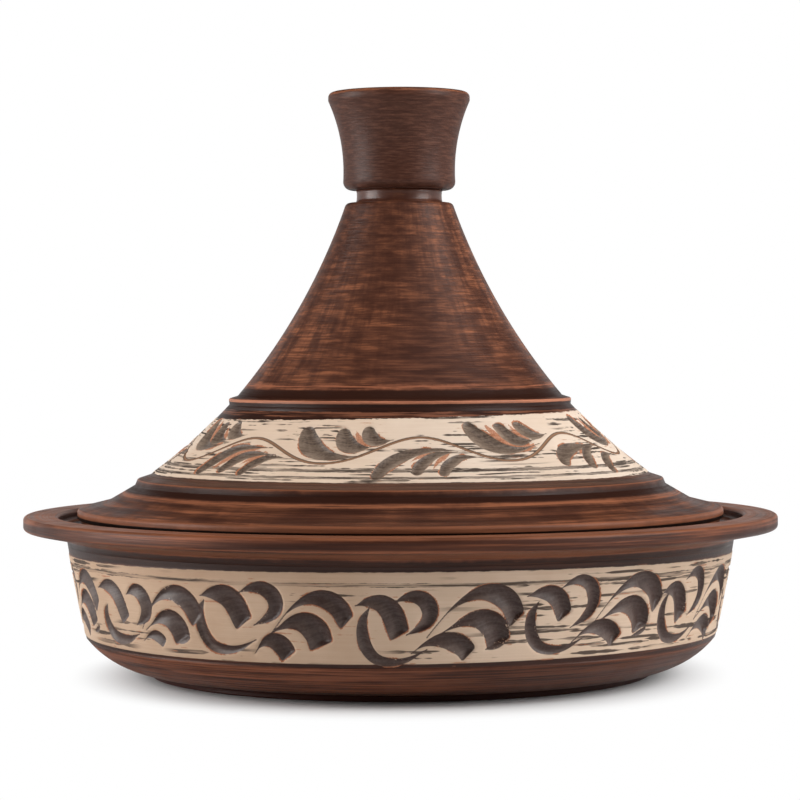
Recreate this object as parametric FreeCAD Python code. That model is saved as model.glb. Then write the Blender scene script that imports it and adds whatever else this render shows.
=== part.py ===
import FreeCAD
import Part
import math
import os

# Clay tagine pot: a round cooking dish with a broad rim, and a conical lid with a cup knob.
# Every piece is turned about the Z axis. The origin is the middle of the foot, on the table, +Z up.
# All sizes are millimetres. A section point is written as (radius, height above the table).

# Dish: foot, belly and wall
FOOT_RADIUS = 107.0
FOOT_WIDTH = 8.0
FOOT_HEIGHT = 2.6
FOOT_RECESS = 2.4
FOOT_ROUND = 0.8
BELLY_LOW = (113.5, 3.4)
BELLY_BOW = 2.0
WALL_LOW = (133.8, 16.5)
WALL_HIGH = (141.4, 55.5)
WALL_BOW = 0.35
WALL_THICKNESS = 7.6
FLOOR_THICKNESS = 7.0
FLOOR_RADIUS = 101.0
FLOOR_BOW = 3.2

# Dish: broad rim, and the gallery, a ledge sunk inside it that carries the lid
RIM_RADIUS = 160.0
RIM_TOP = 67.8
RIM_EDGE = 5.7
RIM_ROUND = 1.6
RIM_ROOT = (141.9, 58.6)
RIM_ROOT_ROUND = 2.0
GALLERY_RADIUS = 145.3
GALLERY_FLOOR = 63.2
GALLERY_INNER_RADIUS = 126.5
GALLERY_LEDGE = 4.8
GALLERY_ROUND = 1.5
BRACE_FOOT = 47.0

# Lid: neck, cone, two stepped beads, skirt and lip
LID_WALL = 6.6
NECK_RADIUS = 18.4
NECK_TOP = 205.3
NECK_WAIST = 0.3
SHOULDER = (22.7, 199.8)
SHOULDER_ROUND = 2.2
CONE_TOP = (23.9, 196.4)
CONE_FOOT = (69.2, 117.9)
CONE_BOW = 4.0
UPPER_STEP = (73.1, 116.7)
UPPER_STEP_UNDER = (72.8, 114.2)
BAND_TOP = (74.4, 112.5)
BAND_FOOT = (106.6, 84.5)
BAND_BOW = 1.0
LOWER_STEP = (111.9, 82.8)
LOWER_STEP_UNDER = (113.0, 80.2)
STEP_ROUND = 0.9
SKIRT_FOOT = (124.4, 73.6)
SKIRT_ROUND = 9.0
LIP = (137.3, 70.4)
LIP_DEPTH = 3.6
LIP_ROUND = 1.6
SPIGOT_RADIUS = 135.6
SPIGOT_WIDTH = 6.6
CAVITY_TOP = (21.5, 184.0)
CAVITY_CROWN = (8.0, 192.0)
CAVITY_BOW = 1.8

# Knob: a flared cup joined to the neck
KNOB_FOOT_RADIUS = 23.95
KNOB_FOOT_ROUND = 3.4
KNOB_WAIST_Z = 209.0
KNOB_RIM = (30.2, 243.2)
KNOB_TOP = 246.8
KNOB_BOW = 2.1
KNOB_RIM_WIDTH = 4.4
KNOB_RIM_ROUND = 2.1
CUP_FLOOR = 216.5
CUP_FLOOR_RADIUS = 12.0
CUP_WAIST = (18.9, 222.5)

# Pale clay coats laid into the dish wall and the lid
COAT_THICKNESS = 0.6
DISH_COAT = (18.1, 52.8)
LID_COAT = (85.5, 109.6)


def at(point):
    """The section point as a vector in the XZ plane."""
    return FreeCAD.Vector(point[0], 0.0, point[1])


def pair(vector):
    """The vector of a point in the XZ plane as a section point."""
    return (vector.x, vector.z)


def left_of(start, end):
    """The unit vector to the left of the way from start to end."""
    run = at(end) - at(start)
    return FreeCAD.Vector(-run.z, 0.0, run.x).normalize()


def inside(point, start, end, depth):
    """The point moved by depth to the right of the way from start to end, into the wall."""
    return pair(at(point) - left_of(start, end) * depth)


class Section:
    """A closed half section, drawn edge by edge and then turned about the Z axis."""

    def __init__(self, start):
        self.start = start
        self.end = start
        self.edges = []

    def line(self, *points):
        """Straight edges to each point in turn."""
        for point in points:
            self.edges.append(Part.LineSegment(at(self.end), at(point)).toShape())
            self.end = point
        return self

    def arc(self, through, point):
        """A circular edge to a point by way of another."""
        self.edges.append(Part.Arc(at(self.end), at(through), at(point)).toShape())
        self.end = point
        return self

    def bow(self, point, offset):
        """A circular edge that stands off its chord by offset, to the left of the way along it."""
        middle = (at(self.end) + at(point)) * 0.5
        return self.arc(pair(middle + left_of(self.end, point) * offset), point)

    def round(self, corner, point, radius):
        """A straight edge towards a corner, then a tangent arc of that radius turning towards the point."""
        back = (at(self.end) - at(corner)).normalize()
        ahead = (at(point) - at(corner)).normalize()
        half_angle = back.getAngle(ahead) / 2.0
        reach = radius / math.tan(half_angle)
        depth = radius / math.sin(half_angle) - radius
        through = at(corner) + (back + ahead).normalize() * depth
        self.line(pair(at(corner) + back * reach))
        return self.arc(pair(through), pair(at(corner) + ahead * reach))

    def turn(self):
        """The solid that the closed section makes in one full turn."""
        self.line(self.start)
        face = Part.Face(Part.Wire(self.edges))
        return face.revolve(FreeCAD.Vector(0, 0, 0), FreeCAD.Vector(0, 0, 1), 360)


def slab(heights):
    """A wide disc between two heights."""
    low, high = heights
    return Part.makeCylinder(2 * RIM_RADIUS, high - low, FreeCAD.Vector(0, 0, low))


def dish_body():
    """The thrown dish: foot ring, round belly, wall, broad rim with its sunk gallery, and the bowl inside."""
    floor = FOOT_RECESS + FLOOR_THICKNESS
    foot_inner = FOOT_RADIUS - FOOT_WIDTH
    rim_under = (RIM_RADIUS, RIM_TOP - RIM_EDGE)
    rim_corner = (RIM_RADIUS, RIM_TOP)
    gallery_edge = (GALLERY_RADIUS, RIM_TOP)
    gallery_foot = (GALLERY_RADIUS, GALLERY_FLOOR)
    ledge_edge = (GALLERY_INNER_RADIUS, GALLERY_FLOOR)
    ledge_under = (GALLERY_INNER_RADIUS, GALLERY_FLOOR - GALLERY_LEDGE)
    bowl_high = (WALL_HIGH[0] - WALL_THICKNESS, BRACE_FOOT)
    bowl_low = inside(WALL_LOW, WALL_LOW, BELLY_LOW, WALL_THICKNESS)
    section = Section((0, FOOT_RECESS))
    section.line((foot_inner - FOOT_RECESS, FOOT_RECESS), (foot_inner, 0))
    section.round((FOOT_RADIUS, 0), (FOOT_RADIUS, FOOT_HEIGHT), FOOT_ROUND)
    section.line((FOOT_RADIUS, FOOT_HEIGHT), BELLY_LOW)
    section.bow(WALL_LOW, -BELLY_BOW)
    section.bow(WALL_HIGH, -WALL_BOW)
    section.round(RIM_ROOT, rim_under, RIM_ROOT_ROUND)
    section.round(rim_under, rim_corner, RIM_ROUND)
    section.round(rim_corner, gallery_edge, RIM_ROUND)
    section.round(gallery_edge, gallery_foot, RIM_ROUND)
    section.round(gallery_foot, ledge_edge, GALLERY_ROUND)
    section.round(ledge_edge, ledge_under, GALLERY_ROUND)
    section.line(ledge_under, bowl_high, bowl_low)
    section.bow((FLOOR_RADIUS, floor), FLOOR_BOW)
    section.line((0, floor))
    return section.turn()


def dish_coat():
    """The pale clay coat let into the dish wall, flush with it."""

    def wall_disc(depth):
        low = (WALL_LOW[0] - depth, WALL_LOW[1])
        high = (WALL_HIGH[0] - depth, WALL_HIGH[1])
        return Section((0, low[1])).line(low).bow(high, -WALL_BOW).line((0, high[1])).turn()

    return wall_disc(0).cut(wall_disc(COAT_THICKNESS)).common(slab(DISH_COAT))


def lid_body():
    """The thrown lid: solid neck, hollow cone, two stepped beads, skirt, and a rim that stands in the gallery."""
    lip_under = (LIP[0], LIP[1] - LIP_DEPTH)
    spigot_top = (SPIGOT_RADIUS, lip_under[1] - (LIP[0] - SPIGOT_RADIUS))
    spigot_foot = (SPIGOT_RADIUS, GALLERY_FLOOR)
    spigot_inner = (SPIGOT_RADIUS - SPIGOT_WIDTH, GALLERY_FLOOR)
    lip_inner = inside(SKIRT_FOOT, SKIRT_FOOT, LIP, LID_WALL)
    skirt_inner = inside(LOWER_STEP_UNDER, LOWER_STEP_UNDER, SKIRT_FOOT, LID_WALL)
    band_inner_foot = inside(BAND_FOOT, BAND_TOP, BAND_FOOT, LID_WALL)
    cone_inner_foot = inside(CONE_FOOT, CONE_TOP, CONE_FOOT, LID_WALL)
    section = Section((0, NECK_TOP))
    section.line((NECK_RADIUS, NECK_TOP))
    section.bow((NECK_RADIUS, SHOULDER[1]), -NECK_WAIST)
    section.round(SHOULDER, CONE_TOP, SHOULDER_ROUND)
    section.line(CONE_TOP)
    section.bow(CONE_FOOT, -CONE_BOW)
    section.round(UPPER_STEP, UPPER_STEP_UNDER, STEP_ROUND)
    section.line(UPPER_STEP_UNDER, BAND_TOP)
    section.bow(BAND_FOOT, -BAND_BOW)
    section.round(LOWER_STEP, LOWER_STEP_UNDER, STEP_ROUND)
    section.line(LOWER_STEP_UNDER)
    section.round(SKIRT_FOOT, LIP, SKIRT_ROUND)
    section.round(LIP, lip_under, LIP_ROUND)
    section.line(lip_under, spigot_top)
    section.line(spigot_foot, spigot_inner)
    section.line((spigot_inner[0], lip_inner[1]), lip_inner, skirt_inner, band_inner_foot)
    section.bow(cone_inner_foot, BAND_BOW)
    section.bow(CAVITY_TOP, CONE_BOW)
    section.bow(CAVITY_CROWN, -CAVITY_BOW)
    section.line((0, CAVITY_CROWN[1]))
    return section.turn()


def lid_coat():
    """The pale clay coat let into the lid between its two beads, flush with it."""
    cone = Section((0, BAND_TOP[1])).line(BAND_TOP).bow(BAND_FOOT, -BAND_BOW).line((0, BAND_FOOT[1])).turn()
    drop = COAT_THICKNESS / left_of(BAND_TOP, BAND_FOOT).z
    return cone.cut(cone.translated(FreeCAD.Vector(0, 0, -drop))).common(slab(LID_COAT))


def knob_cup():
    """The flared knob, thrown as a small cup and joined to the top of the neck."""
    foot_corner = (KNOB_FOOT_RADIUS, NECK_TOP)
    waist = (KNOB_FOOT_RADIUS, KNOB_WAIST_Z)
    rim_corner = (KNOB_RIM[0], KNOB_TOP)
    rim_inner = (KNOB_RIM[0] - KNOB_RIM_WIDTH, KNOB_TOP)
    section = Section((0, NECK_TOP))
    section.round(foot_corner, waist, KNOB_FOOT_ROUND)
    section.line(waist)
    section.bow(KNOB_RIM, KNOB_BOW)
    section.round(rim_corner, rim_inner, KNOB_RIM_ROUND)
    section.round(rim_inner, CUP_WAIST, KNOB_RIM_ROUND)
    section.line(CUP_WAIST)
    section.bow((CUP_FLOOR_RADIUS, CUP_FLOOR), KNOB_BOW)
    section.line((0, CUP_FLOOR))
    return section.turn()


def main():
    """Builds every piece, prints what it measures and writes it to parts/."""
    os.makedirs("parts", exist_ok=True)
    dish_band = dish_coat()
    lid_band = lid_coat()
    pieces = {
        "base_dish": dish_body().cut(dish_band),
        "base_slip_band": dish_band,
        "lid_cone": lid_body().cut(lid_band),
        "lid_slip_band": lid_band,
        "lid_knob": knob_cup(),
    }
    for name, shape in pieces.items():
        box = shape.optimalBoundingBox()
        print(name, "solids", len(shape.Solids), "valid", shape.isValid(),
              "volume cm3", round(shape.Volume / 1000, 1),
              "z", round(box.ZMin, 2), round(box.ZMax, 2), "radius", round(box.XMax, 2))
        shape.exportStep(f"parts/{name}.step")


main()
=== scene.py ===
"""A clay tagine pot: burnished dish, conical lid and cup knob, with carved bands of pale slip on both."""

import logging
import math
from dataclasses import dataclass, field, replace
from enum import Enum
from functools import cache
from typing import Any

import bpy
import numpy as np
from mathutils import Matrix, Vector
from numpy.typing import NDArray


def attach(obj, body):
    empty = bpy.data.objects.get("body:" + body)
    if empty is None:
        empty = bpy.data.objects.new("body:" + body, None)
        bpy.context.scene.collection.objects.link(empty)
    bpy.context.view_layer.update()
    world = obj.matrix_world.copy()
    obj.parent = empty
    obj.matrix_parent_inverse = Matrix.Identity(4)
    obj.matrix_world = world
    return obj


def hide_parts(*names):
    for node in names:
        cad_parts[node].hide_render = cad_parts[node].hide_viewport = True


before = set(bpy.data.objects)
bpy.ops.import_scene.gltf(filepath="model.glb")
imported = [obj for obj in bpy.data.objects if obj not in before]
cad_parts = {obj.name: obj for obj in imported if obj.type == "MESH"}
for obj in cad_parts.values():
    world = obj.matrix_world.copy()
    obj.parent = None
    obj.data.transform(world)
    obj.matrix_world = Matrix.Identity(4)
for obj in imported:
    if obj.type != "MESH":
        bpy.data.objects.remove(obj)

Array = NDArray[np.float64]
Point = tuple[float, float]
Colour = tuple[float, float, float]
Material = bpy.types.Material
Piece = bpy.types.Object
Tree = bpy.types.NodeTree

LOG = logging.getLogger("tagine")
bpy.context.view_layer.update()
MM = 0.001
TURN = 2.0 * math.pi
WHITE = (1.0, 1.0, 1.0)


class Ends(Enum):
    """How the rows of a turned surface close."""

    AXIS = "the first and last rows meet the axis"
    RING = "the last row joins the first"


class Level(Enum):
    """What a zone of a finish is measured by."""

    HEIGHT = "height above the table"
    RADIUS = "distance from the axis"


class Tip(Enum):
    """How a gouge leaves the clay at the thick end of a cut."""

    ROUND = "the end follows the round gouge"
    CHISEL = "the end is cut off straight"


class HalfSection:
    """Half the section of a turned piece: (radius, height) points in millimetres, the clay on their left."""

    ARC_STEPS = 4
    STEPS_PER_RADIAN = 8.0

    def __init__(self, start: Point, step: float) -> None:
        """Starts the section.

        Args:
            start: Its first point.
            step: The longest distance between two of its points.
        """
        self.end = np.array(start, float)
        self.step = step
        self.runs = [self.end[None, :]]
        self.outer = 0

    def line(self, *points: Point) -> None:
        """Adds straight runs: start + share * (end - start).

        Args:
            points: Where each run ends.
        """
        for point in points:
            target = np.array(point, float)
            count = max(1, math.ceil(np.linalg.norm(target - self.end) / self.step))
            share = np.arange(1, count + 1)[:, None] / count
            self.runs.append(self.end + share * (target - self.end))
            self.end = target

    def bow(self, point: Point, offset: float) -> None:
        """Adds a circular run.

        With half angle h and radius R, a point at angle a is R sin(a) along the chord from its middle,
        and R (cos(a) - cos(h)) to the left of it.

        Args:
            point: Where it ends.
            offset: How far it stands off its chord, to the left of the way along it.
        """
        target = np.array(point, float)
        chord = np.linalg.norm(target - self.end)
        along = (target - self.end) / chord
        left = np.array([-along[1], along[0]])
        half = 2.0 * math.atan(2.0 * offset / chord)
        radius = chord / (2.0 * math.sin(half))
        fine = max(abs(2.0 * radius * half) / self.step, abs(half) * self.STEPS_PER_RADIAN)
        angle = np.linspace(-half, half, max(self.ARC_STEPS, math.ceil(fine)) + 1)[1:, None]
        sideways = left * radius * (np.cos(angle) - math.cos(half))
        self.runs.append((self.end + target) / 2.0 + along * radius * np.sin(angle) + sideways)
        self.end = target

    def corners(self, *corners: tuple[Point, float], ahead: Point) -> None:
        """Adds straight runs that turn each corner in a tangent arc.

        Args:
            corners: Each corner, with the radius of its arc.
            ahead: The point that the last arc turns towards.
        """
        targets = [corner for corner, _ in corners[1:]] + [ahead]
        for (corner, radius), target in zip(corners, targets):
            turn = np.array(corner, float)
            back, onward = self.end - turn, np.array(target, float) - turn
            back, onward = back / np.linalg.norm(back), onward / np.linalg.norm(onward)
            half = math.acos(float(np.clip(back @ onward, -1.0, 1.0))) / 2.0
            reach = radius / math.tan(half)
            side = math.copysign(1.0, onward[1] * back[0] - onward[0] * back[1])
            self.line(tuple(turn + back * reach))
            self.bow(tuple(turn + onward * reach), side * radius * (1.0 - math.sin(half)))

    def go_inside(self) -> None:
        """Notes that what follows is the inside of the piece."""
        self.outer = sum(len(run) for run in self.runs)

    def rows(self) -> tuple[Array, Array]:
        """Radius and height of each row, and 1 for each row of the inside."""
        points = np.concatenate(self.runs)
        return points, (np.arange(len(points)) >= self.outer).astype(float)


def angles_round(count: int) -> Array:
    """Evenly spaced angles for one turn, from the front to the right."""
    return np.arange(count) * TURN / count


def wander(angle: Array, seed: int, size: float) -> Array:
    """A hand-made unevenness round the pot: a mean of four slow cosine waves with seeded phases.

    Args:
        angle: Angles round the pot.
        seed: Picks the phases.
        size: The largest value.

    Returns:
        A value for each angle, between -size and size.
    """
    waves = np.arange(1, 5)
    phase = np.random.default_rng(seed).uniform(0.0, TURN, len(waves))
    return size * np.mean(np.cos(angle[..., None] * waves + phase), axis=-1)


def turn_points(radius: Array, height: Array, angle: Array) -> Array:
    """Points of a turned surface: x = r sin(a), y = -r cos(a), z = h, so that angle 0 is the front.

    Args:
        radius: Radius of each grid point, in millimetres.
        height: Height of each grid point, in millimetres.
        angle: Angle of each column.

    Returns:
        An array of rows by columns by 3.
    """
    return np.stack([radius * np.sin(angle), -radius * np.cos(angle), height + 0.0 * angle], axis=-1)


def mesh_object(name: str, points: Array, faces: list[list[int]]) -> Piece:
    """Makes a mesh object at the origin.

    Args:
        name: Its name.
        points: Its points, in metres.
        faces: The points of each face.

    Returns:
        The object.
    """
    mesh = bpy.data.meshes.new(name)
    mesh.from_pydata(points.tolist(), [], faces)
    piece = bpy.data.objects.new(name, mesh)
    bpy.context.scene.collection.objects.link(piece)
    return piece


def grid_object(name: str, grid: Array, ends: Ends, values: dict[str, Array]) -> Piece:
    """Makes a closed, smooth object from a grid that goes round the axis.

    Row i and column j give the quad (i, j), (i, j+1), (i+1, j+1), (i+1, j). On the axis a row is one point.

    Args:
        name: The piece's name.
        grid: Rows by columns by 3, in millimetres.
        ends: How the rows close.
        values: Numbers for the finish, each rows by columns, stored on the points.

    Returns:
        The object.
    """
    rows, columns = grid.shape[:2]
    index = np.arange(rows * columns).reshape(rows, columns)
    kept = index.ravel()
    if ends is Ends.AXIS:
        kept = np.concatenate([index[0, :1], index[1:-1].ravel(), index[-1, :1]])
        index = np.clip(index - columns + 1, 0, len(kept) - 1)
    else:
        index = np.concatenate([index, index[:1]])
    beside = np.roll(index, -1, axis=1)
    quads = np.stack([index[:-1], beside[:-1], beside[1:], index[1:]], axis=-1)
    if ends is Ends.AXIS:
        faces = quads[1:-1].reshape(-1, 4).tolist()
        faces += quads[0][:, [0, 2, 3]].tolist() + quads[-1][:, [0, 1, 2]].tolist()
    else:
        faces = quads.reshape(-1, 4).tolist()
    piece = mesh_object(name, grid.reshape(-1, 3)[kept] * MM, faces)
    piece.data.shade_smooth()
    for key, table in values.items():
        numbers = table.reshape(-1)[kept].astype(np.float32)
        piece.data.attributes.new(key, "FLOAT", "POINT").data.foreach_set("value", numbers)
    piece.data.update()
    return piece


@dataclass(frozen=True)
class Fit:
    """How the hand varied a cut of the pattern, about the middle of the wall."""

    round: float = 0.0  # millimetres moved round the pot
    up: float = 0.0  # millimetres moved along the wall
    wide: float = 1.0  # drawn out round the pot
    tall: float = 1.0  # drawn out along the wall
    broad: float = 1.0  # made broader

    MIDDLE = 35.0


@dataclass(frozen=True)
class Stroke:
    """One pass of a gouge: a bent leaf that starts thin, swells, and ends blunt or in a point."""

    path: tuple[Point, ...]  # along its middle: millimetres round the pot, and along the wall
    width: float  # at its widest
    widest: float = 0.6  # share of the way along at which it is widest
    lead: float = 1.0  # 1 swells at once, 3 has a long thin start
    end: float = 0.0  # width at the end, as a share of the widest
    tip: Tip = Tip.CHISEL  # shape of an end that isn't a point
    skew: float = 0.0  # degrees by which a straight end is turned from square
    lean: float = 0.6  # how much deeper it is to the left of the way along it, from -1 to 1
    gap: float = 0.0  # half the width of a gap to an earlier cut that is scraped to raw clay, if any is

    HAIRLINE = 0.32
    TAPER = 1.4

    def fitted(self, fit: Fit) -> "Stroke":
        """The stroke as the hand varied it."""
        path = tuple((x * fit.wide + fit.round, (y - fit.MIDDLE) * fit.tall + fit.MIDDLE + fit.up)
                     for x, y in self.path)
        return replace(self, path=path, width=self.width * fit.broad)

    def middle(self, count: int) -> Array:
        """Points on a smooth curve through the path.

        Each span is a cubic, whose slope at a path point is half the step between that point's neighbours.

        Args:
            count: How many points.

        Returns:
            An array of count by 2.
        """
        path = np.array(self.path, float)
        full = np.concatenate([[2.0 * path[0] - path[1]], path, [2.0 * path[-1] - path[-2]]])
        place = np.linspace(0.0, len(path) - 1.0, count)
        span = np.minimum(place.astype(int), len(path) - 2)
        t = (place - span)[:, None]
        p0, p1, p2, p3 = (full[span + k] for k in range(4))
        return 0.5 * (2 * p1 + (p2 - p0) * t + (2 * p0 - 5 * p1 + 4 * p2 - p3) * t**2
                      + (3 * p1 - p0 - 3 * p2 + p3) * t**3)

    def half_widths(self, middle: Array) -> Array:
        """Half the width along the cut: a quarter sine up to the widest place, then a power curve down.

        Args:
            middle: The points along the middle.

        Returns:
            One half width for each point.
        """
        gone = np.concatenate([[0.0], np.cumsum(np.linalg.norm(np.diff(middle, axis=0), axis=1))])
        share = gone / gone[-1]
        rise = np.sin(0.5 * math.pi * np.clip(share / self.widest, 0.0, 1.0) ** self.lead)
        fall = np.clip((share - self.widest) / (1.0 - self.widest), 0.0, 1.0) ** self.TAPER
        return np.maximum(0.5 * self.width * rise * (1.0 - (1.0 - self.end) * fall), self.HAIRLINE)


@dataclass
class Carving:
    """The cuts in a band, as numbers on its grid."""

    angle: Array  # of each column
    along: Array  # place of each row along the wall, in millimetres
    radius: Array  # of each row
    scoop: float  # depth of a cut as a share of half its width
    depth: Array = field(init=False)  # how deep each grid point is cut
    values: dict[str, Array] = field(init=False)  # numbers for the finish

    SAMPLES = 36
    MARGIN = 3.0
    FAR = 20.0
    CORNER = 1.2
    BROAD = 1.5
    NARROW_PULL = 2.5
    EDGE_SHARE = 0.35

    def __post_init__(self) -> None:
        """Starts with an uncut band.

        Cut, broad and between say how far a point is inside a cut, a broad stretch of one, and a scraped
        gap between two. Side is 1 on the left of the way along a cut and -1 on its right.
        """
        shape = (len(self.along), len(self.angle))
        self.values = {key: np.full(shape, -self.FAR) for key in ("cut", "broad", "between")}
        self.values["side"] = np.zeros(shape)
        self.depth = np.zeros(shape)

    def cut(self, stroke: Stroke, start: float) -> None:
        """Adds one cut.

        A point is inside it by the most that half width exceeds distance, over short runs along its middle.
        A straight end is a smooth least of that and how far the point is short of the end. With u across
        the cut from -1 to 1, and e from 0 at its edge to 1 further in, its floor is a leaning scoop:
        scoop * half width * min(1 - u^2, e (2 - e)) (1 + lean u).

        Args:
            stroke: The cut.
            start: Angle of the repeat that the stroke's points are measured from.
        """
        middle = stroke.middle(self.SAMPLES)
        half = stroke.half_widths(middle)
        place = start + middle[:, 0] / float(np.mean(self.radius))
        centre = 0.5 * (place.min() + place.max())
        reach = (stroke.width + self.MARGIN) / float(np.min(self.radius))
        away = (self.angle - centre + math.pi) % TURN - math.pi
        columns = np.flatnonzero(np.abs(away) < 0.5 * (place.max() - place.min()) + reach)
        radius = self.radius[:, None, None]
        across = (away[columns][None, :, None] - (place - centre)) * radius
        up = self.along[:, None, None] - middle[:, 1]
        run_x, run_y = np.diff(place) * radius, np.diff(middle[:, 1])
        length = run_x**2 + run_y**2
        share = np.clip((across[..., :-1] * run_x + up[..., :-1] * run_y) / length, 0.0, 1.0)
        off_x, off_y = across[..., :-1] - share * run_x, up[..., :-1] - share * run_y
        width = half[:-1] + share * np.diff(half)
        every = width - np.hypot(off_x, off_y)
        nearest = np.argmax(every, axis=2)[..., None]
        left = (run_x * off_y - run_y * off_x) / np.sqrt(length)
        found = (np.take_along_axis(table, nearest, 2)[..., 0] for table in (every, width, left))
        inside, width, left = found
        if stroke.end > 0.0 and stroke.tip is Tip.CHISEL:
            heading = middle[-1] - middle[-3]
            tilt = math.atan2(heading[1], heading[0]) + math.radians(stroke.skew)
            short = -across[..., -1] * math.cos(tilt) - up[..., -1] * math.sin(tilt)
            blend = np.clip(0.5 + 0.5 * (short - inside) / self.CORNER, 0.0, 1.0)
            corner = short + (inside - short) * blend - self.CORNER * blend * (1.0 - blend)
            inside = np.where(nearest[..., 0] > 0.5 * self.SAMPLES, corner, inside)
        offset = np.clip(left / width, -1.0, 1.0)
        near_edge = np.clip(inside / (self.EDGE_SHARE * width), 0.0, 1.0)
        floor = np.minimum(1.0 - offset**2, near_edge * (2.0 - near_edge))
        depth = self.scoop * width * floor * (1.0 + stroke.lean * offset)
        broad = inside - self.NARROW_PULL * np.clip(self.BROAD - width, 0.0, None)
        values = self.values
        side = np.where(inside > values["cut"][:, columns], offset, values["side"][:, columns])
        values["side"][:, columns] = side
        tables = [(values["cut"], inside), (values["broad"], broad), (self.depth, depth)]
        if stroke.gap:
            scraped = np.minimum(values["broad"][:, columns], broad) + stroke.gap
            tables.append((values["between"], scraped))
        for table, new in tables:
            table[:, columns] = np.maximum(table[:, columns], new)


class Value:
    """What a shader node puts out. Arithmetic on it places further nodes."""

    def __init__(self, graph: "Graph", socket: bpy.types.NodeSocket) -> None:
        """Keeps the graph and the node's output."""
        self.graph = graph
        self.socket = socket

    def __add__(self, other: Any) -> "Value":
        """The sum of two values."""
        return self.graph.math("ADD", self, other)

    def __sub__(self, other: Any) -> "Value":
        """The value less another."""
        return self.graph.math("SUBTRACT", self, other)

    def __rsub__(self, other: float) -> "Value":
        """A number less the value."""
        return self.graph.math("SUBTRACT", other, self)

    def __mul__(self, other: Any) -> "Value":
        """The product of two values."""
        return self.graph.math("MULTIPLY", self, other)

    def __truediv__(self, other: Any) -> "Value":
        """The value over another."""
        return self.graph.math("DIVIDE", self, other)

    def most(self, other: Any) -> "Value":
        """The larger of two values."""
        return self.graph.math("MAXIMUM", self, other)

    def step(self, low: Any, high: Any) -> "Value":
        """A soft step: 0 at low, 1 at high."""
        inputs = {"Value": self, "From Min": low, "From Max": high}
        return self.graph.add("MapRange", inputs, "Result", interpolation_type="SMOOTHSTEP")

    def spread(self, low: float, high: float) -> "Value":
        """A value from 0 to 1 spread over the range from low to high."""
        return self.graph.add("MapRange", {"Value": self, "To Min": low, "To Max": high}, "Result")

    def mix(self, first: Any, second: Any, way: str = "MIX") -> "Value":
        """Two colours mixed, with this share of the second."""
        return self.graph.add("Mix", {0: self, 6: first, 7: second}, 2, data_type="RGBA", blend_type=way)


class Graph:
    """A short way to place and join the nodes of one shader tree."""

    AXIS_CLEAR = 0.5

    def __init__(self, tree: Tree) -> None:
        """Works on that tree."""
        self.tree = tree

    def plug(self, socket: bpy.types.NodeSocket, value: Any) -> None:
        """Joins a socket to another node's output, or sets its own value.

        Args:
            socket: The socket.
            value: What goes into it.
        """
        if isinstance(value, Value):
            self.tree.links.new(value.socket, socket)
        elif isinstance(value, tuple) and socket.type == "RGBA":
            socket.default_value = (*value, 1.0)
        else:
            socket.default_value = value

    def node(self, kind: str, inputs: dict[Any, Any], **settings: Any) -> bpy.types.Node:
        """Places a node.

        Args:
            kind: Its type, without the words that all shader nodes start with.
            inputs: Input names or numbers, with what goes into each.
            settings: The node's own settings.

        Returns:
            The node.
        """
        node = self.tree.nodes.new("ShaderNode" + kind)
        for key, value in settings.items():
            setattr(node, key, value)
        for key, value in inputs.items():
            self.plug(node.inputs[key], value)
        return node

    def add(self, kind: str, inputs: dict[Any, Any], output: int | str = 0, **settings: Any) -> Value:
        """Places a node and gives one of its outputs, by name or number."""
        return Value(self, self.node(kind, inputs, **settings).outputs[output])

    def math(self, operation: str, *values: Any) -> Value:
        """The result of a math node."""
        return self.add("Math", dict(enumerate(values)), operation=operation)

    def vector(self, operation: str, inputs: dict[Any, Any], output: str = "Vector") -> Value:
        """The result of a vector math node."""
        return self.add("VectorMath", inputs, output, operation=operation)

    def noise(self, vector: Value, detail: Any, roughness: float) -> Value:
        """Cloud noise at a place, from 0 to 1."""
        inputs = {"Vector": vector, "Scale": 1.0, "Detail": detail, "Roughness": roughness}
        return self.add("TexNoise", inputs, "Fac")

    def attribute(self, name: str) -> Value:
        """A number stored on the piece's points."""
        return self.add("Attribute", {}, "Fac", attribute_name=name)

    def place(self) -> tuple[Value, Value, Value]:
        """Where a point is.

        Returns:
            Its place in millimetres, its distance from the axis and its height.
        """
        spot = self.vector("SCALE", {0: self.add("TexCoord", {}, "Object"), "Scale": 1.0 / MM})
        x, y, z = (Value(self, part) for part in self.node("SeparateXYZ", {0: spot}).outputs)
        return spot, self.math("SQRT", x * x + y * y), z

    def round_pot(self, around: Value, lift: Value) -> Value:
        """A place for noise that has no seam: (cos, sin) of the angle, times around, at the height lift.

        Args:
            around: How fine the noise is round the pot.
            lift: The height.

        Returns:
            The place.
        """
        spot, radius = self.place()[:2]
        flat = self.vector("MULTIPLY", {0: spot, 1: (1.0, 1.0, 0.0)})
        ring = self.vector("SCALE", {0: flat, "Scale": around / radius.most(self.AXIS_CLEAR)})
        return self.vector("ADD", {0: ring, 1: self.add("CombineXYZ", {2: lift})})

    def facing(self, side: float, reach: Point) -> Value:
        """How near a point is to one side of the pot: a soft step of the cosine of the angle to it.

        Args:
            side: The side, in degrees round from the front.
            reach: The cosines at which it is 0 and 1.

        Returns:
            A number from 0 to 1.
        """
        spot, radius = self.place()[:2]
        ahead = (math.sin(math.radians(side)), -math.cos(math.radians(side)), 0.0)
        return (self.vector("DOT_PRODUCT", {0: spot, 1: ahead}, "Value") / radius).step(*reach)

    def put_out(self, mask: Value) -> Tree:
        """Ends a node group with its mask, and gives the group."""
        self.plug(self.tree.nodes.new("NodeGroupOutput").inputs["Mask"], mask)
        return self.tree


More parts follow.
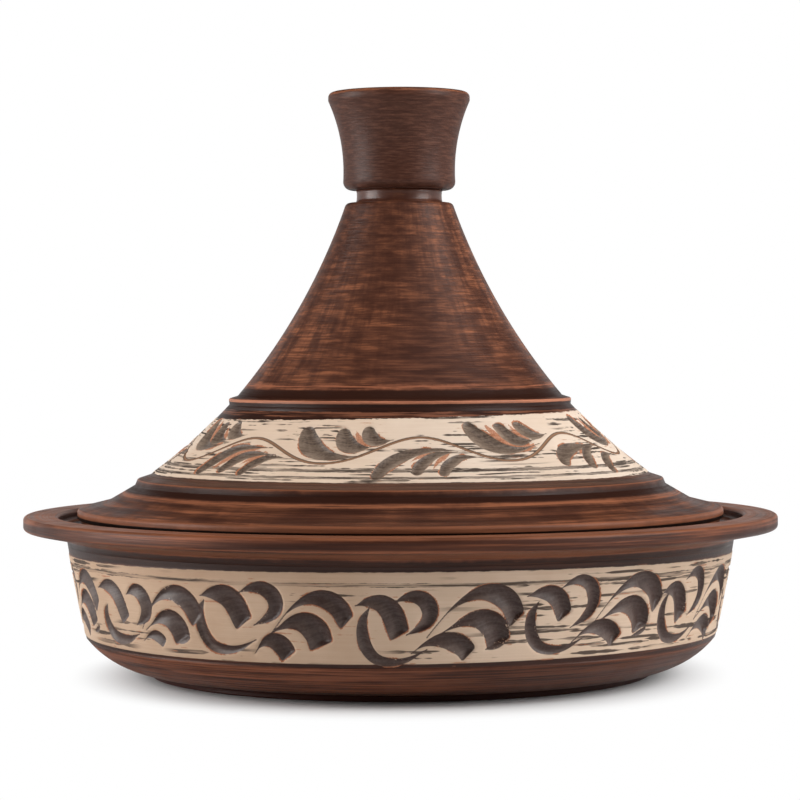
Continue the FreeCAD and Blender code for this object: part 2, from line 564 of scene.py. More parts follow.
def start_group(name: str, **usual: float) -> tuple[Graph, dict[str, Value]]:
    """Starts a shader node group that puts out a mask.

    Args:
        name: The group's name.
        usual: Its inputs and their usual values.

    Returns:
        The group's graph and its inputs.
    """
    tree = bpy.data.node_groups.new(name, "ShaderNodeTree")
    for key, value in usual.items():
        tree.interface.new_socket(key, in_out="INPUT", socket_type="NodeSocketFloat").default_value = value
    tree.interface.new_socket("Mask", in_out="OUTPUT", socket_type="NodeSocketFloat")
    graph = Graph(tree)
    given = tree.nodes.new("NodeGroupInput").outputs
    return graph, {key: Value(graph, given[key]) for key in usual}


@cache
def wheel_streaks() -> Tree:
    """Streaks that a brush or a rib leaves on a turning pot.

    The noise is read round the pot, at (height + Slope * radius) times Up, so it has no seam.

    Returns:
        The group.
    """
    graph, given = start_group("Wheel streaks", Around=4.0, Up=1.0, Slope=-1.0, Seed=0.0, Low=0.4, High=0.6,
                               Detail=4.0)
    radius, height = graph.place()[1:]
    level = (radius * given["Slope"] + height) * given["Up"] + given["Seed"]
    noise = graph.noise(graph.round_pot(given["Around"], level), given["Detail"], roughness=0.6)
    return graph.put_out(noise.step(given["Low"], given["High"]))


@cache
def firing_clouds() -> Tree:
    """Soft patches, as smoke and milk leave them in the firing: noise at the place times Fineness.

    Returns:
        The group.
    """
    graph, given = start_group("Firing clouds", Fineness=0.02, Seed=0.0, Low=0.35, High=0.65, Detail=4.0)
    shift = graph.add("CombineXYZ", {0: given["Seed"], 2: given["Seed"]})
    scaled = graph.vector("SCALE", {0: graph.place()[0], "Scale": given["Fineness"]})
    noise = graph.noise(graph.vector("ADD", {0: scaled, 1: shift}), given["Detail"], roughness=0.55)
    return graph.put_out(noise.step(given["Low"], given["High"]))


@cache
def brush_dabs() -> Tree:
    """Dark marks of a nearly dry brush, each a long lens in its own lane round the pot.

    A lane is the whole part of (height + Slope * radius) / Pitch. Noise round the lane gives half the
    mark's thickness there, as a share of Pitch, from 0 at Low to Thick at High, and more noise shifts it.

    Returns:
        The group.
    """
    lane_gap, aside, shifted = 7.31, (5.2, 9.7, 1.3), 0.8
    graph, given = start_group("Brush dabs", Around=4.0, Pitch=2.0, Slope=0.0, Seed=0.0, Low=0.55, High=0.7,
                               Thick=0.3, Soft=0.1)
    radius, height = graph.place()[1:]
    level = (radius * given["Slope"] + height) / given["Pitch"] + given["Seed"]
    where = graph.round_pot(given["Around"], graph.math("FLOOR", level) * lane_gap)
    swell = graph.noise(where, detail=4.0, roughness=0.62).step(given["Low"], given["High"])
    shift = graph.noise(graph.vector("ADD", {0: where, 1: aside}), detail=1.0, roughness=0.5) - 0.5
    away = graph.math("ABSOLUTE", shift * shifted + (graph.math("FRACT", level) - 0.5))
    mask = (swell * given["Thick"] - away).step(given["Soft"] * -1.0, given["Soft"])
    return graph.put_out(mask * swell.step(0.0, 0.15))


@cache
def zone_edges() -> Tree:
    """A band between two levels with soft, uneven edges: a soft step up at Low times one down at High.

    Returns:
        The group.
    """
    fineness = 0.14
    graph, given = start_group("Zone", Level=0.0, Low=0.0, High=1.0, Soft=0.5, Uneven=0.0)
    low, high, soft = given["Low"], given["High"], given["Soft"]
    scaled = graph.vector("SCALE", {0: graph.place()[0], "Scale": fineness})
    noise = graph.noise(scaled, detail=5.0, roughness=0.65)
    level = (noise - 0.5) * given["Uneven"] + given["Level"]
    return graph.put_out(level.step(low - soft, low + soft) * level.step(high + soft, high - soft))


@dataclass(frozen=True)
class Zone:
    """A band of another tone on a turned piece."""

    colour: Colour
    level: Level
    low: float  # where it starts, in millimetres
    high: float  # where it ends
    soft: float = 0.4  # half the width of its soft edges
    uneven: float = 0.0  # how far its edges wander
    streak: float = 0.0  # how much of it streaks break up, from 0 to 1
    share: float = 1.0  # how strong it is


class Paint(Graph):
    """The graph of a finish on clay, with its shader and the shared effects at hand."""

    BUMP_DEPTH = 0.2 * MM

    def __init__(self, material: Material, slope: float) -> None:
        """Starts the graph.

        Args:
            material: The material.
            slope: How radius adds to height in streaks: -1 on a cone, 1 on a dish.
        """
        material.use_nodes = True
        super().__init__(material.node_tree)
        self.shader = material.node_tree.nodes["Principled BSDF"]
        self.slope = slope
        self.radius, self.height = self.place()[1:]

    def use(self, group: Tree, **inputs: Any) -> Value:
        """Places a shared group.

        Args:
            group: The group.
            inputs: What goes into its named inputs.

        Returns:
            Its mask.
        """
        node = self.tree.nodes.new("ShaderNodeGroup")
        node.node_tree = group
        for key, value in inputs.items():
            self.plug(node.inputs[key], value)
        return Value(self, node.outputs["Mask"])

    def streaks(self, around: float, up: float, seed: float, low: Any = 0.36, high: Any = 0.64,
                detail: float = 4.0) -> Value:
        """The mask of wheel streaks along the slope of the wall."""
        return self.use(wheel_streaks(), Around=around, Up=up, Slope=self.slope, Seed=seed, Low=low,
                        High=high, Detail=detail)

    def clouds(self, fineness: float, seed: float, low: float = 0.35, high: float = 0.65,
               detail: float = 4.0) -> Value:
        """The mask of firing clouds."""
        return self.use(firing_clouds(), Fineness=fineness, Seed=seed, Low=low, High=high, Detail=detail)

    def dabs(self, around: float, pitch: float, seed: float, low: float, high: float, thick: float,
             soft: float) -> Value:
        """The mask of brush dabs, in lanes that follow a cone but lie level on a dish."""
        return self.use(brush_dabs(), Around=around, Pitch=pitch, Slope=min(self.slope, 0.0), Seed=seed,
                        Low=low, High=high, Thick=thick, Soft=soft)

    def band(self, zone: Zone, seed: float) -> Value:
        """The mask of one zone of a finish, broken up by streaks.

        Args:
            zone: The zone.
            seed: Picks the streaks.

        Returns:
            The mask.
        """
        level = self.radius if zone.level is Level.RADIUS else self.height
        mask = self.use(zone_edges(), Level=level, Low=zone.low, High=zone.high, Soft=zone.soft,
                        Uneven=zone.uneven)
        if zone.streak:
            broken = self.streaks(around=3.0, up=0.9, seed=seed, low=0.43, high=0.55)
            mask = mask * broken.spread(1.0 - zone.streak, 1.0)
        return mask * zone.share

    def finish(self, *, colour: Value, roughness: Value, shine: Value | float, height: Value,
               bump: float, specular: float, coat_roughness: float) -> None:
        """Joins the finish to its shader.

        Args:
            colour: Its colour.
            roughness: How dull it is.
            shine: Weight of the clear shine over it.
            height: Height of its fine relief, from 0 to 1.
            bump: Strength of that relief.
            specular: How strongly it mirrors.
            coat_roughness: How dull the clear shine is.
        """
        grain = {"Strength": bump, "Distance": self.BUMP_DEPTH, "Height": height}
        relief = self.add("Bump", grain, "Normal")
        joined = {"Base Color": colour, "Roughness": roughness, "Coat Weight": shine, "Normal": relief}
        for key, value in joined.items():
            self.plug(self.shader.inputs[key], value)
        self.shader.inputs["Specular IOR Level"].default_value = specular
        self.shader.inputs["Coat Roughness"].default_value = coat_roughness


@dataclass(frozen=True)
class ClayFinish:
    """Red clay burnished on the wheel and darkened in the fire, with brush streaks and worn edges."""

    name: str
    deep: Colour  # of the dark patches
    body: Colour  # its usual colour
    warm: Colour  # of the thin red streaks
    slope: float  # how radius adds to height in the streaks: -1 on a cone, 1 on a dish
    drawn: Point  # how fine its patches are round the pot, and up it
    brushed: float  # how much strokes of a brush drawn up the pot show
    warmth: float  # how strong its red patches are
    lined: float  # how dark the lines are that the wheel left
    zones: tuple[Zone, ...]  # bands of other tones, laid on in order
    inner: Colour  # of the unsmoked inside
    polished: Point | None = None  # heights between which it is rubbed to a shine, if it is
    gloss: float = 0.16  # how strongly the rest of it mirrors
    foot_shade: float = 0.0  # how strong the painted shade is low on one side of its foot

    FOOT_SHADE_SIDE = 60.0
    FOOT_SHADE_REACH = (0.2, 0.95)
    FOOT_SHADE_BELOW = (20.0, 14.0)
    ROUGHNESS = (0.34, 0.5)
    COAT = 0.5
    COAT_ROUGHNESS = 0.28
    GRAIN_BUMP = 0.25
    STAIN = 0.6
    SLOW = 0.25
    ZONE_SEED = 31.0
    ZONE_SEED_STEP = 5.0

    def colour(self, paint: Paint) -> tuple[Value, Value]:
        """The clay's colour, with any painted shade low on one side of its foot, and the height of its fine
        wheel lines.

        Args:
            paint: The material's graph.

        Returns:
            A colour and a height from 0 to 1.
        """
        around, up = self.drawn
        drawn = paint.streaks(around, up, seed=0.0, detail=6.0)
        slow = paint.clouds(fineness=0.014, seed=0.0, low=0.36, high=0.64, detail=1.0)
        brush = (paint.streaks(around=11.0, up=0.035, seed=61.0) - 0.5) * slow + 0.5
        fine = paint.streaks(around, up=1.05, seed=7.0)
        tone = slow * self.SLOW + drawn * (1.0 - self.SLOW - self.brushed) + brush * self.brushed
        colour = tone.step(0.0, 0.75).mix(self.deep, self.body)
        glow = tone.step(0.5, 1.0) * fine.spread(0.5, 1.0)
        colour = (glow * self.warmth).mix(colour, self.warm)
        colour = ((1.0 - fine) * self.lined).mix(colour, self.deep)
        for number, zone in enumerate(self.zones):
            mask = paint.band(zone, self.ZONE_SEED + self.ZONE_SEED_STEP * number)
            colour = mask.mix(colour, zone.colour)
        # Painted shade: the foot is darkened on one side of the pot, more towards the bottom.
        if self.foot_shade:
            low = paint.height.step(*self.FOOT_SHADE_BELOW)
            painted_foot_shade = paint.facing(self.FOOT_SHADE_SIDE, self.FOOT_SHADE_REACH) * low
            colour = (painted_foot_shade * self.foot_shade).mix(colour, self.deep)
        return colour, fine

    def material(self) -> Material:
        """Builds the material.

        Returns:
            The material.
        """
        material = bpy.data.materials.new(self.name)
        paint = Paint(material, self.slope)
        colour, fine = self.colour(paint)
        stain = paint.clouds(fineness=0.02, seed=15.0, low=0.4, high=0.68) * self.STAIN
        inside = stain.mix(fine.mix(self.inner, self.body), self.deep)
        dull = paint.clouds(fineness=0.06, seed=5.0) * 0.5 + fine * 0.5
        shine = 0.0
        if self.polished:
            low, high = self.polished
            shine = paint.use(zone_edges(), Level=paint.height, Low=low, High=high, Soft=0.5) * self.COAT
        paint.finish(colour=paint.attribute("inner").mix(colour, inside),
                     roughness=dull.spread(*self.ROUGHNESS), shine=shine, height=fine,
                     bump=self.GRAIN_BUMP, specular=self.gloss, coat_roughness=self.COAT_ROUGHNESS)
        return material


@dataclass(frozen=True)
class SlipFinish:
    """Pale slip brushed on the turning pot over clay, dry in places, and cut through by the carving."""

    name: str
    clay: ClayFinish  # shows past the slip's edges
    pale: Colour  # the slip's lightest colour
    shade: Colour  # its darker colour
    umber: Colour  # of the dark streaks left by a dry brush
    floor: Colour  # of the floor of a cut
    floor_dust_and_sheen: Colour  # of dust on that floor, and of the painted sheen towards its shallow side
    dusty: float  # how much dust lies all over the floor
    raw: Colour  # of the raw clay along a cut's edge
    vine: Colour | None  # of a thin incised line, if there is one
    dryness: float  # how strong the dark streaks are
    dab_pitch: float  # height of the lanes that the brush marks lie in, in millimetres
    rings: tuple[Zone, ...]  # dark lines left by the brush right round the pot
    raw_width: float  # how far raw clay reaches from a cut, in millimetres
    ragged: float  # how far the slip's upper edge is torn by the brush, in millimetres
    torn: Point  # heights between which the tearing grows
    side_shade: Colour  # what the colour is multiplied by on one side of the pot, a painted shade
    spared: float  # how far the left side is spared the dark streaks
    sheen: float  # how strongly the floors of the cuts shine

    BUMP = 0.3
    SPECULAR = 0.25
    COAT_ROUGHNESS = 0.42
    ROUGHNESS = (0.4, 0.75)
    SHADED_SIDE = -38.0
    SHADED_REACH = (0.67, 0.985)
    SPARED_SIDE = -62.0
    SPARED_REACH = (0.25, 0.8)
    BRUSHED = 0.35
    DRY_PATCH = 0.43
    DRY_SOFT = 0.08
    HAIR_PITCH = 0.72
    RING_SEED = 91.0
    RING_SEED_STEP = 7.0
    RAW_SOFT = 0.12
    SLIP_EDGE = (-0.15, 0.15)
    CUT_EDGE = (-0.06, 0.2)
    NEAR_CUT = (-4.5, -1.5)
    FLAKES_FROM = (-0.3, 0.1)
    FLAKES_TO = (1.1, 0.3)
    SHALLOW_SIDE = (0.35, -0.95)
    VINE_LINE = (-0.2, 0.1)
    VINE_CORE = (0.05, 0.35)
    BRUSH_HEIGHT = 0.6
    LINE_HEIGHT = 0.4
    GRIT_HEIGHT = 0.3

    def slip(self, paint: Paint) -> tuple[Value, Value]:
        """The slip's colour with its dry streaks and a painted shade on one side, and the height of its
        brush lines.

        Args:
            paint: The material's graph.

        Returns:
            A colour and a height from 0 to 1.
        """
        brush = paint.streaks(around=3.0, up=1.1, seed=3.0, low=0.3, high=0.7)
        tone = brush * self.BRUSHED + paint.clouds(fineness=0.03, seed=9.0) * (1.0 - self.BRUSHED)
        # Painted shade: the slip is darkened and warmed towards one side of the pot.
        painted_side_shade = paint.facing(self.SHADED_SIDE, self.SHADED_REACH)
        colour = painted_side_shade.mix(tone.mix(self.shade, self.pale), self.side_shade, "MULTIPLY")
        marks = paint.dabs(around=2.6, pitch=self.dab_pitch, seed=3.0, low=0.5, high=0.6, thick=0.26,
                           soft=0.05)
        hairs = paint.dabs(around=3.4, pitch=self.HAIR_PITCH * self.dab_pitch, seed=40.5, low=0.49,
                           high=0.57, thick=0.24, soft=0.06)
        spared = paint.facing(self.SPARED_SIDE, self.SPARED_REACH)
        low = spared.spread(self.DRY_PATCH, self.DRY_PATCH + self.spared)
        patch = paint.streaks(around=2.4, up=0.06, seed=12.0, low=low, high=low + self.DRY_SOFT, detail=1.0)
        dry = marks.most(hairs) * patch
        for number, ring in enumerate(self.rings):
            dry = dry.most(paint.band(ring, self.RING_SEED + self.RING_SEED_STEP * number))
        grain = paint.streaks(around=9.0, up=0.8, seed=44.0, low=0.36, high=0.5)
        return (dry * self.dryness * grain.spread(0.55, 1.0)).mix(colour, self.umber), brush

    def floor_colour(self, paint: Paint) -> tuple[Value, Value]:
        """The colour of a cut's floor, dusty all over and with a painted sheen towards its shallow side, and
        the height of its grit.

        Args:
            paint: The material's graph.

        Returns:
            A colour and a height from 0 to 1.
        """
        grit = paint.clouds(fineness=0.9, seed=33.0, low=0.35, high=0.7)
        smear = paint.clouds(fineness=0.12, seed=37.0, low=0.3, high=0.7, detail=3.0)
        worn = paint.streaks(around=7.0, up=0.9, seed=71.0, low=0.42, high=0.58) * 0.5 + grit * 0.5
        # Painted sheen: the floor is lighter towards the shallow side of the cut.
        shallow = paint.attribute("side").step(*self.SHALLOW_SIDE)
        dust_and_sheen = shallow * smear.spread(0.15, 0.8) + worn * self.dusty
        return dust_and_sheen.mix(self.floor, self.floor_dust_and_sheen), grit

    def edges(self, paint: Paint, colour: Value) -> Value:
        """Raw clay and scores along the cuts, and raw clay in the narrow gaps between them.

        Args:
            paint: The material's graph.
            colour: The colour under them.

        Returns:
            The colour with them.
        """
        chip = paint.clouds(fineness=0.1, seed=21.0, low=0.42, high=0.62, detail=2.0)
        crumb = paint.clouds(fineness=1.4, seed=25.0, low=0.3, high=0.7, detail=3.0)
        reach = chip * crumb.spread(0.5, 1.2) * -self.raw_width
        beside = paint.attribute("broad").step(reach - self.RAW_SOFT, reach + self.RAW_SOFT)
        scraped = (crumb * 0.3 + paint.attribute("between")).step(0.0, 0.35)
        near = paint.attribute("cut").step(*self.NEAR_CUT) * chip.step(0.9, 0.2)
        scores = paint.dabs(around=9.0, pitch=1.6, seed=77.0, low=0.56, high=0.66, thick=0.2, soft=0.08)
        raw = (beside * chip.step(0.02, 0.4)).most(scraped * 0.9).most(scores * near * 0.7)
        return raw.mix(colour, crumb.mix(self.raw, self.clay.warm))

    def flakes(self, paint: Paint, colour: Value) -> Value:
        """Crumbs of slip and raw clay that cling to the edges of the cuts.

        Args:
            paint: The material's graph.
            colour: The colour under them.

        Returns:
            The colour with them.
        """
        specks = paint.clouds(fineness=1.1, seed=57.0, low=0.58, high=0.66, detail=3.0)
        where = paint.clouds(fineness=0.05, seed=63.0, low=0.53, high=0.66, detail=2.0)
        cut = paint.attribute("cut")
        rim = cut.step(*self.FLAKES_FROM) * cut.step(*self.FLAKES_TO)
        return (specks * where * rim).mix(colour, specks.mix(self.raw, self.shade))

    def material(self) -> Material:
        """Builds the material: clay, slip inside its edges, raw clay beside the cuts, and dark cut floors.

        Returns:
            The material.
        """
        material = bpy.data.materials.new(self.name)
        paint = Paint(material, self.clay.slope)
        clay, fine = self.clay.colour(paint)
        slip, brush = self.slip(paint)
        frayed = paint.streaks(around=26.0, up=0.6, seed=50.0, low=0.3, high=0.7)
        tear = frayed.spread(-self.ragged, self.ragged) * paint.height.step(*self.torn).spread(0.2, 1.0)
        coated = (paint.attribute("slip") + tear).step(*self.SLIP_EDGE)
        colour = self.edges(paint, coated.mix(clay, slip))
        inside = paint.attribute("cut").step(*self.CUT_EDGE)
        floor, grit = self.floor_colour(paint)
        colour = self.flakes(paint, inside.mix(colour, floor))
        if self.vine:
            vine = paint.attribute("vine")
            core = vine.step(*self.VINE_CORE).mix(self.floor, self.vine)
            colour = vine.step(*self.VINE_LINE).mix(colour, core)
        matte = coated * (1.0 - inside)
        height = brush * self.BRUSH_HEIGHT + fine * self.LINE_HEIGHT + grit * self.GRIT_HEIGHT
        paint.finish(colour=colour, roughness=matte.spread(*self.ROUGHNESS), shine=inside * self.sheen,
                     height=height, bump=self.BUMP, specular=self.SPECULAR,
                     coat_roughness=self.COAT_ROUGHNESS)
        return material


@dataclass
class CarvedBand:
    """A ring of wall coated with slip and cut with a gouge."""

    foot: Point  # lower end of its face
    top: Point  # upper end of its face
    bow: float  # how far the face swells between them
    rows: int  # of its grid, along the wall
    columns: int  # of its grid, round the pot
    thickness: float  # of the ring behind its face
    scoop: float = 0.42  # depth of a cut as a share of half its width

    COAT = 0.22
    COAT_EDGE = 0.6
    CUT_EDGE = 0.4
    END_ROW = 0.001
    END_SHARE = 0.01
    CLEARANCE = 0.05

    def length(self) -> float:
        """How far it is up the face."""
        return float(np.linalg.norm(np.subtract(self.top, self.foot)))

    def outward(self) -> Array:
        """The way out of the face, square to the way up it."""
        run = np.subtract(self.top, self.foot)
        return np.array([run[1], -run[0]]) / self.length()

    def seat(self, point: Point) -> Point:
        """The point moved back to the floor of the recess that the ring sits in."""
        return tuple(np.array(point) - self.outward() * (self.thickness + self.CLEARANCE))

    def shares(self) -> Array:
        """Each row's share of the way up, with a close row beside each end to keep the corners crisp."""
        return np.concatenate([[0.0], np.linspace(self.END_ROW, 1.0 - self.END_ROW, self.rows), [1.0]])

    def face(self) -> Array:
        """The face without its cuts: a straight run, swollen by a parabola 4 bow s (1 - s).

        Returns:
            Radius and height of each row.
        """
        share = self.shares()[:, None]
        swell = 4.0 * self.bow * share * (1.0 - share) * self.outward()
        return np.array(self.foot) + share * np.subtract(self.top, self.foot) + swell

    def build(self, name: str, carving: Carving, slip: Array, round_of: Array) -> Piece:
        """Makes the ring: its face is raised by the coat inside the slip's edges and lowered by the cuts.

        Args:
            name: The piece's name.
            carving: The cuts.
            slip: How far each grid point is inside the slip's edges, in millimetres.
            round_of: How far out of round the pot is at each column.

        Returns:
            The piece.
        """
        face, out, share = self.face(), self.outward(), self.shares()
        coated = np.clip(slip / self.COAT_EDGE + 0.5, 0.0, 1.0)
        uncut = 1.0 - np.clip(carving.values["cut"] / self.CUT_EDGE + 1.0, 0.0, 1.0)
        ends = np.clip(np.minimum(share, 1.0 - share) / self.END_SHARE, 0.0, 1.0)[:, None]
        lift = ends * (self.COAT * coated * uncut - carving.depth)
        back = (face[[-1, 0]] - out * self.thickness)[:, :, None]
        radius = np.concatenate([(face[:, :1] + out[0] * lift) * round_of, back[:, 0] * round_of])
        height = np.concatenate([face[:, 1:] + out[1] * lift, back[:, 1] * np.ones_like(round_of)])
        hidden = np.full((len(back), self.columns), -Carving.FAR)
        values = {**carving.values, "slip": slip}
        values = {key: np.concatenate([table, hidden]) for key, table in values.items()}
        return grid_object(name, turn_points(radius, height, carving.angle), Ends.RING, values)


def settle(piece: Piece, node: str, body: str, material: Material) -> None:
    """Dresses a piece and puts it in the place of its node.

    Args:
        piece: The piece.
        node: The node that it stands for.
        body: The body that it moves with.
        material: Its finish.
    """
    piece.data.materials.append(material)
    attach(piece, body)
    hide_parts(node)
    LOG.info("%s: %d faces, rides on %s", piece.name, len(piece.data.polygons), body)


@dataclass
class Thrown:
    """A pot thrown on the wheel: the size of its grid, and how far it strays from true."""

    step: float = 2.6  # longest run of its section
    columns: int = 384
    seed: int = 3
    out_of_true: float = 0.0012  # share of the radius

    def roundness(self, columns: int) -> Array:
        """How the pot strays inwards from a true circle: 1 - share * (1 + wander) / 2."""
        return 1.0 - 0.5 * self.out_of_true * (1.0 + wander(angles_round(columns), self.seed, 1.0))

    def turned(self, name: str, rows: tuple[Array, Array]) -> Piece:
        """A solid turned about the axis: every section point goes round once.

        Args:
            name: The piece's name.
            rows: Radius and height of each row, from axis to axis, and 1 for each row of the inside.

        Returns:
            The piece.
        """
        section, inner = rows
        round_of = self.roundness(self.columns)
        grid = turn_points(section[:, :1] * round_of, section[:, 1:], angles_round(self.columns))
        values = {"inner": np.repeat(inner[:, None], self.columns, axis=1)}
        return grid_object(name, grid, Ends.AXIS, values)


HOOK = Stroke(
    ((5.8, 41.2), (3.2, 36.6), (2.9, 31.6), (4.4, 26.8), (7.8, 23.2), (13.2, 21.9), (19.8, 22.7),
     (27.8, 26.4)), width=5.2, widest=0.36, lead=0.8, lean=-0.5)
LEFT_LEAF = Stroke(
    ((0.0, 42.8), (5.2, 44.2), (10.0, 43.7), (13.2, 41.2), (14.9, 37.8), (15.9, 34.4), (16.9, 31.2)),
    width=8.8, widest=0.68, lead=1.1, end=0.92, skew=14.0)
RIGHT_LEAF = Stroke(
    ((14.6, 44.3), (19.0, 46.2), (23.2, 46.5), (26.8, 44.6), (28.4, 41.0), (27.6, 37.4), (24.4, 34.4),
     (19.4, 31.8)), width=6.7, widest=0.5, lead=1.1)
HIGH_LEAF = Stroke(
    ((28.6, 27.6), (33.0, 33.2), (37.6, 38.4), (43.4, 42.6), (49.6, 44.8), (55.8, 44.0), (60.8, 40.4),
     (64.0, 33.6)), width=8.8, widest=0.79, lead=2.7, end=0.86, skew=24.0)
MIDDLE_LEAF = Stroke(
    ((30.0, 28.4), (36.2, 31.9), (41.6, 34.4), (46.2, 35.2), (50.3, 34.2), (53.4, 31.6), (54.8, 28.4),
     (55.2, 25.0)), width=10.4, widest=0.8, lead=2.0, end=0.86, skew=18.0)
LOW_LEAF = Stroke(
    ((20.4, 22.6), (24.6, 25.7), (29.2, 27.4), (33.6, 27.8), (37.8, 26.8), (41.2, 24.6), (43.2, 21.8)),
    width=8.0, widest=0.76, lead=1.7, end=0.9, skew=14.0)
CHIP = Stroke(((50.4, 22.9), (54.4, 23.9), (58.6, 25.8)), width=2.3, lead=0.8, end=0.5)
SCROLL = (HOOK, LEFT_LEAF, RIGHT_LEAF, HIGH_LEAF, MIDDLE_LEAF, LOW_LEAF, CHIP)


@dataclass(frozen=True)
class Repeat:
    """One repeat of the dish's scroll."""

    start: float  # angle of its left edge, in degrees from the front
    fits: tuple[Fit, ...]  # how the hand varied each cut of the pattern


FRONT_REPEATS = (
    Repeat(-61.5, (
        Fit(0.6, -3.8, 1.0, 0.7, 1.22), Fit(-0.6, -1.0, 1.22, 1.0, 0.92), Fit(9.4, -3.3, 0.92, 0.95, 1.15),
        Fit(4.6, -0.9, 0.92, 0.9), Fit(7.5, -2.4, 0.845, 0.86, 0.95), Fit(18.9, -6.2, 0.57, 0.5, 0.66),
        Fit(3.6, 0.4, 0.94, 1.0, 1.1))),
    Repeat(-35.6, (
        Fit(0.0, 0.2, 1.0, 1.0, 1.08), Fit(3.7, 0.9, 1.14, 0.88, 1.1), Fit(5.4, 0.4, 1.12),
        Fit(9.3, 0.1, 0.87, 0.85, 0.92), Fit(4.6, -1.2, 0.9, 0.93, 1.02), Fit(13.7, -1.5, 0.63))),
    Repeat(-7.2, (
        Fit(-0.3, -1.8, 1.0, 1.1), Fit(0.0, -2.1), Fit(0.0, -2.4), Fit(-1.4, 0.6), Fit(0.2, 0.0),
        Fit(0.8, -0.6), Fit(0.0, 0.4))),
    Repeat(20.0, (
        Fit(0.0, 0.1), Fit(0.6, 2.5, 1.0, 0.75, 0.9), Fit(-1.0, -0.7, 1.09, 1.26, 0.94), Fit(1.4, 2.5),
        Fit(1.4, 2.5), Fit(2.4, 2.0, 0.95), Fit(2.0, 2.2, 1.0, 1.0, 0.9))),
    Repeat(47.6, (
        Fit(-0.2, 0.0, 1.05), Fit(1.4, -1.5, 0.93, 0.94, 1.06), Fit(2.1, -0.7, 1.04, 1.19), Fit(1.0, 0.5),
        Fit(0.0, 0.0), Fit(5.8, -1.5))),
)


